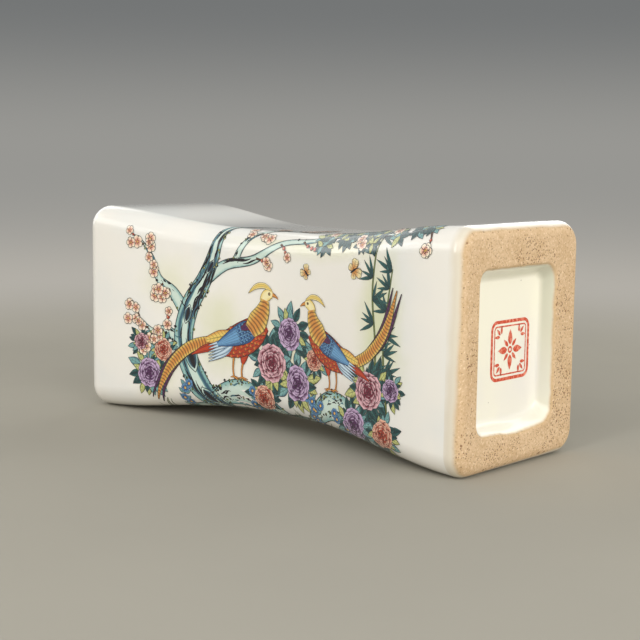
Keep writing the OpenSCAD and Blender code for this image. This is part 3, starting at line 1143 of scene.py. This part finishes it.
bird = {
    "covert": ("covert", 0.222, [(-8, 8.8, 1.1), (-13.5, 7.8, 1.3), (-19, 5.4, 0.2)]),
    "thigh": ("breast", 0.224, [(1.8, 8.8, 2.0), (1.2, 6.2, 1.4), (0.9, 4.4, 0.6)]),
    "body": ("breast", 0.235, [(9.6, 17.5, 2.6), (5.5, 14.6, 4.7), (0, 11.6, 5.2), (-6, 9.8, 3.9),
                               (-11, 9.2, 1.6)]),
    "rump": ("rump", 0.272, [(-3, 13.2, 1.1), (-8, 11.8, 2.1), (-13.5, 10.4, 0.9)]),
    "wing": ("wing", 0.288, [(6.8, 16.0, 1.4), (2.5, 14.4, 3.4), (-3, 12.0, 2.7), (-9, 9.4, 0.7)]),
    "shoulder": ("shoulder", 0.315, [(6.6, 16.9, 0.7), (3.6, 16.4, 1.6), (0.2, 15.0, 0.6)]),
    "head": ("face", 0.3, [(12.9, 26.0, 0.8), (11.6, 26.3, 1.7), (9.9, 25.6, 1.8), (8.9, 23.8, 1.4)]),
    "cape": ("cape", 0.318, [(9.9, 24.4, 1.6), (8.8, 21, 2.8), (6.6, 17.6, 3.7), (3.8, 14.8, 2.6)]),
    "crest": ("crest", 0.322, [(12.4, 27.5, 0.3), (9.4, 28.7, 0.9), (6.0, 28.2, 0.8), (3.0, 26.0, 0.1)]),
    "beak": ("leg", 0.31, [(12.8, 26.3, 0.7), (14.1, 25.9, 0.45), (15.2, 25.1, 0.1)]),
    "legs": [[(0.9, 4.8, 0.42), (0.4, 2.2, 0.34), (0.6, 0.2, 0.38)],
             [(-2.6, 6.6, 0.46), (-3.0, 3.0, 0.34), (-2.6, 0.2, 0.38)]],
    "toes": [(2.4, -0.4), (1.9, -1.0), (-1.4, -0.3)],
    "tail": ((-2.4, "tailDark", 0.2), (2.2, "tailDark", 0.21), (0.0, "tail", 0.22)),  # spread, finish, lift
    "breastRows": 10, "breastFrom": 0.05, "breastStep": 0.085, "breastStagger": 0.04, "breastSpread": 0.21,
    "breastScale": 1.75, "flights": 6, "wingRows": 6, "wingFrom": 0.1, "wingStep": 0.075,
    "wingSides": (-0.72, -0.36, 0.0, 0.36, 0.72), "wingScale": 1.5,
    "eye": (11.5, 26.4), "eyeRings": ((0.5, "line", 0.33), (0.38, "stamen", 0.34), (0.22, "line", 0.35)),
}
pheasants = [
    {"feet": (-15, -21.5), "scale": 1.26, "facing": 1,
     "tail": [(-29, -8.5, 2.2), (-40, -12, 2.4), (-50, -21, 1.9), (-57, -35, 0.3)]},
    {"feet": (33, -19.5), "scale": 1.12, "facing": -1,
     "tail": [(45.5, -8.5, 2.0), (54, -4, 2.2), (62, 5, 1.8), (67.5, 19, 0.3)]},
]


def tailFan(tail):
    for spread, finish, lift in bird["tail"]:
        fan = []
        for step, (x, s, halfWidth) in enumerate(tail):
            share = step / (len(tail) - 1)
            heading = pointOn(tail, share)[3] + quarterTurn
            fan.append((*outFrom((x, s), heading, spread * share), halfWidth * (1 - abs(spread) * 0.14)))
        brush(fan, finish, lift)


def pheasant(feet, scale, facing, tail):
    def local(points):
        return [(feet[0] + facing * x * scale, feet[1] + s * scale, width * scale) for x, s, width in points]

    def draw(part):
        finish, lift, points = bird[part]
        line = local(points)
        brush(line, finish, lift)
        return line

    tailFan(tail)
    for leg in bird["legs"]:
        brush(local(leg), "leg", lift=0.2)
        x, s, _ = leg[-1]
        for dx, ds in bird["toes"]:
            brush(local([leg[-1], (x + dx / 2, s + ds / 2, 0.26), (x + dx, s + ds, 0.08)]), "leg", lift=0.2)
    draw("covert")
    draw("thigh")
    body = draw("body")
    size = bird["breastScale"] * scale
    for row in range(bird["breastRows"]):
        for column in range(-4, 5):
            share = bird["breastFrom"] + bird["breastStep"] * row + bird["breastStagger"] * (column % 2)
            spot = pointOn(body, share)
            at = beside(spot, column * bird["breastSpread"])
            press("feather", at, spot[3] + between(-0.15, 0.15), size, "scale", lift=0.275 - 0.003 * row)
    draw("rump")
    for step in range(bird["flights"]):
        flight = [(-1 - step * 0.5, 12.8 - step * 0.7, 0.6), (-6.5, 10.8 - step * 0.85, 0.75),
                  (-12.5, 8.8 - step, 0.15)]
        brush(local(flight), "flight", lift=0.276)
    wing = draw("wing")
    size = bird["wingScale"] * scale
    for row in range(bird["wingRows"]):
        spot = pointOn(wing, bird["wingFrom"] + bird["wingStep"] * row)
        for side in bird["wingSides"]:
            press("feather", beside(spot, side), spot[3], size, "wingScale", lift=0.305 - 0.001 * row)
    for part in ("shoulder", "head", "cape", "crest", "beak"):
        draw(part)
    x, s, _ = local([(*bird["eye"], 0.0)])[0]
    for size, finish, lift in bird["eyeRings"]:
        press("dot", (x, s), 0.0, size * scale, finish, lift)


# Butterflies, bamboo and grass

butterflies = [{"at": (45, 24), "size": 4.6, "turn": 0.5}, {"at": (19, 21), "size": 3.6, "turn": 2.4}]
butterflyWings = ((0.75, 1.0), (-0.75, 1.0), (2.1, 0.72), (-2.1, 0.72))  # turn and reach


def butterfly(at, size, turn):
    for angle, reach in butterflyWings:
        press("petal", at, turn + angle, size * reach, "paleWing", lift=0.2)
    head = outFrom(at, turn, size * 0.4)
    brush([(*outFrom(at, turn, -size * 0.4), 0.2), (*at, 0.4), (*head, 0.2)], "line", lift=0.215)
    for side in (-0.4, 0.4):
        brush([(*head, 0.1), (*outFrom(at, turn + side, size * 0.95), 0.08)], "line", lift=0.215)


bamboo = {
    "stems": [[(56, -44, 0.7), (55, -26, 0.6), (57, -4, 0.5), (55, 18, 0.45), (58, 38, 0.3)],
              [(62, -44, 0.6), (63, -24, 0.55), (61, 0, 0.45), (65, 26, 0.3)]],
    "fans": 8, "fansFrom": 0.35, "fanStep": 0.09, "blades": 4, "bladeTurn": 0.5, "bladeStep": 0.42,
    "blade": (6, 9),
}


def bambooStems():
    for stem in bamboo["stems"]:
        brush(stem, "grass", lift=0.06)
        for fan in range(bamboo["fans"]):
            x, s, _, heading = pointOn(stem, bamboo["fansFrom"] + bamboo["fanStep"] * fan)
            side = eitherSide()
            for blade in range(bamboo["blades"]):
                turn = heading - side * (bamboo["bladeTurn"] + bamboo["bladeStep"] * blade)
                turn += between(-0.15, 0.15)
                press("blade", (x, s), turn, between(*bamboo["blade"]), "blade", lift=0.07)


grass = {"blades": 140, "x": (-60, 66), "s": (-48, -36), "droop": 5, "lean": (-2.5, 2.5), "rise": (3, 8)}


def grassBlades():
    for _ in range(grass["blades"]):
        x = between(*grass["x"])
        s = between(*grass["s"]) - grass["droop"] * (x / grass["x"][1]) ** 2
        lean = between(*grass["lean"])
        rise = between(*grass["rise"])
        blade = [(x, s, 0.26), (x + lean * 0.4, s + rise * 0.6, 0.2), (x + lean, s + rise, 0.06)]
        brush(blade, "grass", lift=0.06)


plumTree()
mossyBanks()
floweringShrubs()
asterSprays()
bambooStems()
grassBlades()
for each in pheasants:
    pheasant(**each)
for each in butterflies:
    butterfly(**each)
leafyBough()
print("picture drawn:", len(strokes), "strokes,", sum(len(marks) for marks in stamps.values()), "stamps")


# Motifs of unit length from their base along X, with the place on the mark and the distance to its outline

def motifMesh(name, patches):
    points = []
    faces = []
    values = {"along": [], "across": [], "edge": []}
    for rows, columns, turn, place in patches:
        first = len(points)
        cosine = math.cos(turn)
        sine = math.sin(turn)
        for row in range(rows + 1):
            for column in range(columns + 1):
                along = row / rows
                across = 2 * column / columns - 1
                x, y, edge = place(along, across)
                points.append((x * cosine - y * sine, x * sine + y * cosine, 0.0))
                for label, value in zip(values, (along, across, edge)):
                    values[label].append(value)
        for row in range(rows):
            for column in range(columns):
                corner = first + row * (columns + 1) + column
                faces.append((corner + 1, corner + columns + 2, corner + columns + 1, corner))
    mesh = newMesh(name, points, faces)
    for label, numbers in values.items():
        carry(mesh, label, numbers)
    return bpy.data.objects.new(name, mesh)


tipWidth = 0.006
petalShape = {"swell": 0.62, "notchWidth": 0.25, "notchPower": 3, "rounding": 0.24}


def pointed(width, fullness):
    def place(along, across):
        halfWidth = width * math.sin(math.pi * along ** fullness) + tipWidth
        return along, across * halfWidth, (1 - abs(across)) * halfWidth
    return place


def rounded(base, width, notch):
    def place(along, across):
        halfWidth = base + (width - base) * math.sin(math.pi * petalShape["swell"] * along)
        dip = notch * along ** petalShape["notchPower"] * math.exp(-(across / petalShape["notchWidth"]) ** 2)
        x = along * (1 - petalShape["rounding"] * (across * along) ** 2) - dip
        return x, across * halfWidth, min((1 - abs(across)) * halfWidth, 1 - along)
    return place


def disc(along, across):
    angle = math.pi * across
    return along * math.cos(angle), along * math.sin(angle), 1 - along


motifs = {  # piece, and the rows, columns, turn and shape of each patch
    "leaf": ("paintedLeaves", [(7, 4, 0.0, pointed(0.26, 0.8))]),
    "blade": ("paintedBlades", [(6, 2, 0.0, pointed(0.085, 0.75))]),
    "petal": ("paintedPetals", [(5, 4, 0.0, rounded(0.1, 0.42, 0.07))]),
    "feather": ("paintedFeathers", [(3, 4, 0.0, rounded(0.16, 0.36, 0.0))]),
    "blossom": ("paintedBlossoms",
                [(3, 4, step * fullTurn / 5, rounded(0.1, 0.46, 0.05)) for step in range(5)]),
    "dot": ("paintedDots", [(2, 10, 0.0, disc)]),
}


# Marks as a mesh: one point for each stamp, or a chain of points for each stroke, that carries its look
def markMesh(name, marks):
    marks = sorted(marks, key=lambda each: each["lift"])
    points = []
    edges = []
    owners = []
    for each in marks:
        first = len(points)
        points += each["points"]
        edges += [(index, index + 1) for index in range(first, len(points) - 1)]
        owners += [each] * len(each["points"])
    mesh = newMesh(name, [(x * mm, s * mm, 0.0) for x, s, _ in points], edges=edges)
    carry(mesh, "halfWidth", [halfWidth * mm for _, _, halfWidth in points])
    for label in marks[0]:
        if label.endswith("Colour"):
            channels = [channel for each in owners for channel in each[label]]
            carry(mesh, label, channels, "FLOAT_COLOR", "color")
        elif label != "points":
            carry(mesh, label, [each[label] for each in owners])
    return mesh


# Lays flat marks on the wall at their lift, with a flat map of the picture
def layOn(tree, given, results, geometry, edge):
    x, y = flatPlace(tree)
    marked = store(geometry, "edge", edge)
    scale = 0.5 / pillow["halfLength"]
    flatMap = put("ShaderNodeCombineXYZ", {0: x * scale + 0.5, 1: y * scale + 0.5})
    marked = store(marked, "OFBake", flatMap, "FLOAT2", "CORNER")
    laid = onSurface(given, x, y, recall(tree, "lift"))
    finishTree(given, results, put("GeometryNodeSetPosition", {"Geometry": marked, "Position": laid}))


def stampTree():
    tree, given, results = pieceTree("Stamped marks", {"Motif": "Object", "Turn": quarterTurn})
    size = recall(tree, "size")
    feeds = {"Points": given["Geometry"], "Rotation": turnAbout(2, recall(tree, "turn")), "Scale": size,
             "Instance": put("GeometryNodeObjectInfo", {"Object": given["Motif"]}, "Geometry")}
    real = put("GeometryNodeRealizeInstances", {"Geometry": put("GeometryNodeInstanceOnPoints", feeds)})
    layOn(tree, given, results, real, recall(tree, "edge") * size)
    return tree


stroke = {"spacing": 0.9 * mm, "pointsAcross": 5}


def strokeTree():
    tree, given, results = pieceTree("Brush strokes", {"Spacing": stroke["spacing"], "Turn": quarterTurn})
    curve = put("GeometryNodeMeshToCurve", {"Mesh": given["Geometry"]})
    curve = put("GeometryNodeCurveSplineType", {"Curve": curve}, spline_type="CATMULL_ROM")
    curve = put("GeometryNodeResampleCurve", {"Curve": curve, "Length": given["Spacing"]}, mode="LENGTH")
    curve = store(curve, "along", put("GeometryNodeSplineParameter", out="Factor", tree=tree))
    curve = put("GeometryNodeSetCurveNormal", {"Curve": curve}, mode="Z_UP")
    profile = put("GeometryNodeCurvePrimitiveLine", {"Start": (-1, 0, 0), "End": (1, 0, 0)}, tree=tree)
    feeds = {"Curve": profile, "Count": stroke["pointsAcross"]}
    profile = put("GeometryNodeResampleCurve", feeds, mode="COUNT")
    profile = store(profile, "across", flatPlace(tree)[0])
    halfWidth = recall(tree, "halfWidth")
    feeds = {"Curve": curve, "Profile Curve": profile, "Scale": halfWidth}
    ribbon = put("GeometryNodeCurveToMesh", feeds)
    layOn(tree, given, results, ribbon, (1.0 - abs(recall(tree, "across"))) * halfWidth)
    return tree


enamel = {
    "blotchScale": 900.0, "blotch": 0.5, "tipAt": 0.98, "rimPower": 1.5, "roughness": 0.14,
    "veinWidth": 0.07, "barWidth": 0.2, "barLean": 0.3, "barbWidth": 0.08, "lineStrength": 0.6,
    "inkScale": 260.0, "inkVaries": 0.9, "inkLeast": 0.55, "inkStrength": 0.92,
}


# Enamel colours run from a mark's middle to its rim, under inked lines drawn from the mark's own attributes
def enamelMaterial():
    material, tree, shader = newMaterial("enamel", {"Coat Weight": 0.5, "Coat Roughness": 0.05})
    place = objectPlace(tree)
    labels = ("along", "across", "edge", "ink", "sweep", "start", "veins", "bars", "stripes")
    values = [meshValue(tree, label) for label in labels]
    along, across, edge, ink, sweep, start, veins, bars, stripes = values
    core, rim = (meshValue(tree, label, "Color") for label in ("coreColour", "rimColour"))

    def stripe(value, repeat, halfWidth):
        return (abs(calc("FRACT", value) - 0.5) < halfWidth) * lowest(repeat, 1.0)

    away = abs(across)
    blotch = noise(place, enamel["blotchScale"])
    outwards = away ** enamel["rimPower"]
    run = (along - outwards) * sweep + outwards + (blotch - 0.5) * enamel["blotch"]
    colour = mixColour(fadeIn(run, start, enamel["tipAt"]), core, rim)
    sideVeins = stripe(along * veins - away, veins, enamel["veinWidth"])
    midrib = (away < enamel["veinWidth"]) * lowest(veins, 1.0)
    bands = stripe(along * bars - away * enamel["barLean"], bars, enamel["barWidth"])
    barbs = stripe(across * stripes * 0.5, stripes, enamel["barbWidth"])
    weight = noise(place, enamel["inkScale"], detail=2.0) * enamel["inkVaries"] + enamel["inkLeast"]
    lines = highest(sideVeins, midrib, bands, barbs) * enamel["lineStrength"]
    lines = highest(lines, (edge < ink * weight) * enamel["inkStrength"])
    paintOn(shader, mixColour(lines, colour, enamels["ink"]), blotch, enamel["roughness"])
    return material


enamelFinish = enamelMaterial()
strokeMesh = markMesh("paintedStrokes", strokes)
painted = [grow("paintedStrokes", strokeMesh, strokeTree(), {"Material": enamelFinish})]
stamping = stampTree()
for motif, (label, patches) in motifs.items():
    shape = motifMesh(motif, patches)
    values = {"Motif": shape, "Material": enamelFinish}
    painted.append(grow(label, markMesh(label, stamps[motif]), stamping, values))
    bpy.data.objects.remove(shape)
for piece in painted:
    settle(piece, "white_glaze")


# Camera, floor and light

camera = {"azimuth": 42.406, "elevation": 7.246, "distance": 513.8 * mm, "lens": 75.04, "roll": 0.679,
          "across": 1.8 * mm, "sensor": 36.0, "clipStart": 0.01}


# A direction out from the pillow, with azimuth 0 in front of it and 90 at the foot
def outward(azimuth, elevation):
    azimuth = math.radians(azimuth)
    elevation = math.radians(elevation)
    return Vector((math.sin(azimuth) * math.cos(elevation), -math.cos(azimuth) * math.cos(elevation),
                   math.sin(elevation)))


def addCamera():
    roll = math.radians(camera["roll"])
    back = outward(camera["azimuth"], camera["elevation"])
    level = Vector((0, 0, 1)).cross(back).normalized()
    upright = back.cross(level)
    right = level * math.cos(roll) + upright * math.sin(roll)
    up = upright * math.cos(roll) - level * math.sin(roll)
    data = bpy.data.cameras.new("camera")
    data.lens = camera["lens"]
    data.sensor_width = camera["sensor"]
    data.clip_start = camera["clipStart"]
    item = addObject("camera", data)
    item.matrix_world = Matrix((right, up, back)).transposed().to_4x4()
    item.location = Vector((0, 0, midHeight)) + back * camera["distance"] + right * camera["across"]
    bpy.context.scene.camera = item


lamps = {
    "keyBox": {"azimuth": 30, "elevation": 33, "distance": 1.3, "size": (1.8, 1.3), "power": 11.0},
    "rightBox": {"azimuth": 92, "elevation": 16, "distance": 1.2, "size": (1.5, 0.6), "power": 8.8},
    "leftBox": {"azimuth": -54, "elevation": 25, "distance": 1.1, "size": (0.8, 0.3), "power": 1.2},
    "backBox": {"azimuth": 188, "elevation": 28, "distance": 1.3, "size": (1.2, 1.0), "power": 6.2},
    "endBox": {"azimuth": -92, "elevation": 22, "distance": 1.2, "size": (1.2, 0.8), "power": 3.4},
    "edgeStrip": {"azimuth": 8, "elevation": 24, "distance": 1.1, "size": (0.16, 0.7), "power": 2.4},
}
backdrop = {
    "floor": paint(173, 168, 155), "shade": paint(164, 160, 148), "shadeScale": 9.0, "reach": 8.0,
    "near": paint(178, 174, 166), "far": paint(152, 151, 147), "nearAt": 0.6, "farAt": 8.0,
    "fade": (0.22, 0.6),  # where the lit floor gives way to the sweep, from the middle
    "ambient": paint(138, 138, 138), "zenith": paint(116, 118, 118), "ceiling": paint(216, 218, 215),
    "zenithFade": (0.0, 0.11), "ceilingFade": (0.13, 0.3),  # heights in the world
}


# 1 for rays that show the backdrop, straight or in a reflection
def seenRays(tree):
    return highest(*put("ShaderNodeLightPath", out=("Is Camera Ray", "Is Glossy Ray"), tree=tree))


def addLights():
    for name, lamp in lamps.items():
        data = bpy.data.lights.new(name, "AREA")
        data.shape = "RECTANGLE"
        data.size, data.size_y = lamp["size"]
        data.energy = lamp["power"]
        item = addObject(name, data)
        way = outward(lamp["azimuth"], lamp["elevation"])
        item.location = Vector((0, 0, midHeight)) + way * lamp["distance"]
        item.rotation_euler = (-way).to_track_quat("-Z", "Y").to_euler()
    world = bpy.data.worlds.new("studio")
    bpy.context.scene.world = world
    world.use_nodes = True
    tree = world.node_tree
    height = put("ShaderNodeSeparateXYZ", {0: put("ShaderNodeTexCoord", out="Generated", tree=tree)}, 2)
    sweep = mixColour(fadeIn(height, *backdrop["zenithFade"]), backdrop["far"], backdrop["zenith"])
    sweep = mixColour(fadeIn(height, *backdrop["ceilingFade"]), sweep, backdrop["ceiling"])
    feed(tree.nodes["Background"].inputs, {"Color": mixColour(seenRays(tree), backdrop["ambient"], sweep)})


def addFloor():
    reach = backdrop["reach"]
    square = [(-reach, -reach, 0), (reach, -reach, 0), (reach, reach, 0), (-reach, reach, 0)]
    mesh = newMesh("floor", square, [(0, 1, 2, 3)])
    material, tree, shader = newMaterial("paleFloor", {"Roughness": 0.9, "Specular IOR Level": 0.0})
    place = objectPlace(tree)
    shade = noise(place, backdrop["shadeScale"], detail=4.0)
    feed(shader, {"Base Color": mixColour(shade, backdrop["floor"], backdrop["shade"])})
    # far from the pillow the floor turns into a plain sweep that only the camera and reflections see; the
    # sweep glows by itself, painted light that is lighter near the pillow and darker far off
    away = vectorMath("LENGTH", place, out="Value")
    nearness = fadeIn(1.0 / away, 1 / backdrop["farAt"], 1 / backdrop["nearAt"])
    glow = put("ShaderNodeEmission", {"Color": mixColour(nearness, backdrop["far"], backdrop["near"])})
    share = fadeIn(away, *backdrop["fade"]) * seenRays(tree)
    lit = Wire(tree.nodes["Principled BSDF"].outputs[0])
    blend = put("ShaderNodeMixShader", {0: share, 1: lit, 2: glow})
    feed(tree.nodes["Material Output"].inputs, {"Surface": blend})
    mesh.materials.append(material)
    addObject("floor", mesh)


addCamera()
addLights()
addFloor()
print("camera, lights and floor ready")
